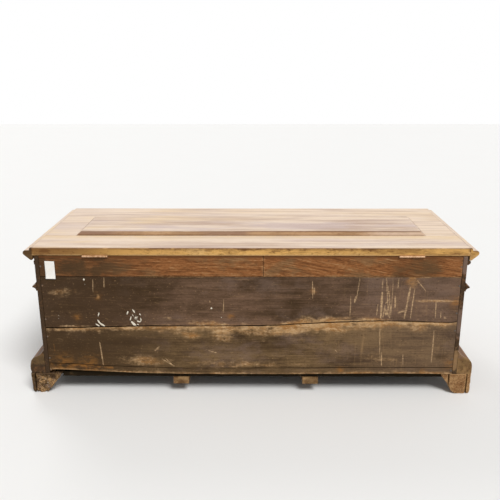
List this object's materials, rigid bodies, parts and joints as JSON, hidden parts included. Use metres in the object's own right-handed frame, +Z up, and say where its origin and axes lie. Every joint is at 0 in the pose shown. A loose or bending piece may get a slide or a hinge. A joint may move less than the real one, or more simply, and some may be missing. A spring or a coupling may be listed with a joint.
{
  "type": "mule chest",
  "caption": "Low, long wooden chest with a hinged raised-panel lid over a well, drawers in the base, applied mouldings and bracket feet.",
  "frame": {"origin": "on the floor under the middle of the chest's outline", "axes": "+X along the length, +Z up, drawers face -Y, hinges at +Y"},
  "size_m": [1.534, 0.6138, 0.545],
  "materials": {
    "lid_walnut": "old waxed walnut, worn and faded on top",
    "case_walnut": "old waxed walnut",
    "back_boards": "rough boards, dark with age, scratched",
    "inside_softwood": "plain dry softwood",
    "hinge_iron": "worn iron with a rusty film",
    "nail_iron": "rusted iron"
  },
  "bodies": {
    "case": {"back_bottom_strip": "back_boards", "back_lower_board": "back_boards", "back_nails": "nail_iron", "back_top_rail_left": "back_boards", "back_top_rail_right": "back_boards", "back_upper_board": "back_boards", "base_moulding_front": "case_walnut", "base_moulding_left": "case_walnut", "base_moulding_right": "case_walnut", "bottom_battens": "inside_softwood", "bottom_boards": "inside_softwood", "drawer_post": "case_walnut", "drawer_runner_centre": "inside_softwood", "drawer_runner_left": "inside_softwood", "drawer_runner_right": "inside_softwood", "end_left": "case_walnut", "end_right": "case_walnut", "foot_blocks": "inside_softwood", "frieze_rail": "case_walnut", "front_bottom_rail": "case_walnut", "front_left_foot": "case_walnut", "front_middle_rail": "case_walnut", "front_muntin": "case_walnut", "front_panel_left": "case_walnut", "front_panel_right": "case_walnut", "front_right_foot": "case_walnut", "front_stile_left": "case_walnut", "front_stile_right": "case_walnut", "hinge_case_leaves": "hinge_iron", "hinge_case_screws": "hinge_iron", "hinge_pins": "hinge_iron", "rear_left_foot": "case_walnut", "rear_right_foot": "case_walnut", "top_moulding": "case_walnut", "waist_moulding": "case_walnut", "well_floor": "inside_softwood", "well_floor_cleats": "inside_softwood"},
    "lid": {"hinge_lid_leaves": "hinge_iron", "hinge_lid_screws": "hinge_iron", "lid_moulding_front": "lid_walnut", "lid_moulding_left": "lid_walnut", "lid_moulding_right": "lid_walnut", "lid_panel": "lid_walnut", "lid_rail_back": "lid_walnut", "lid_rail_front": "lid_walnut", "lid_stile_left": "lid_walnut", "lid_stile_right": "lid_walnut"},
    "drawer_left": {"drawer_left_back": "inside_softwood", "drawer_left_bottom": "inside_softwood", "drawer_left_front": "case_walnut", "drawer_left_knobs": "case_walnut", "drawer_left_side_left": "inside_softwood", "drawer_left_side_right": "inside_softwood"},
    "drawer_right": {"drawer_right_back": "inside_softwood", "drawer_right_bottom": "inside_softwood", "drawer_right_front": "case_walnut", "drawer_right_knobs": "case_walnut", "drawer_right_side_left": "inside_softwood", "drawer_right_side_right": "inside_softwood"}
  },
  "joints": [
    {"name": "lid_hinge", "type": "hinge", "parent": "case", "child": "lid", "pos_m": [0, 0.3037, 0.5045], "axis": [-1, 0, 0], "range_deg": [0, 105]},
    {"name": "drawer_left_slide", "type": "slide", "parent": "case", "child": "drawer_left", "axis": [0, -1, 0], "range_m": [0, 0.36]},
    {"name": "drawer_right_slide", "type": "slide", "parent": "case", "child": "drawer_right", "axis": [0, -1, 0], "range_m": [0, 0.36]}
  ]
}
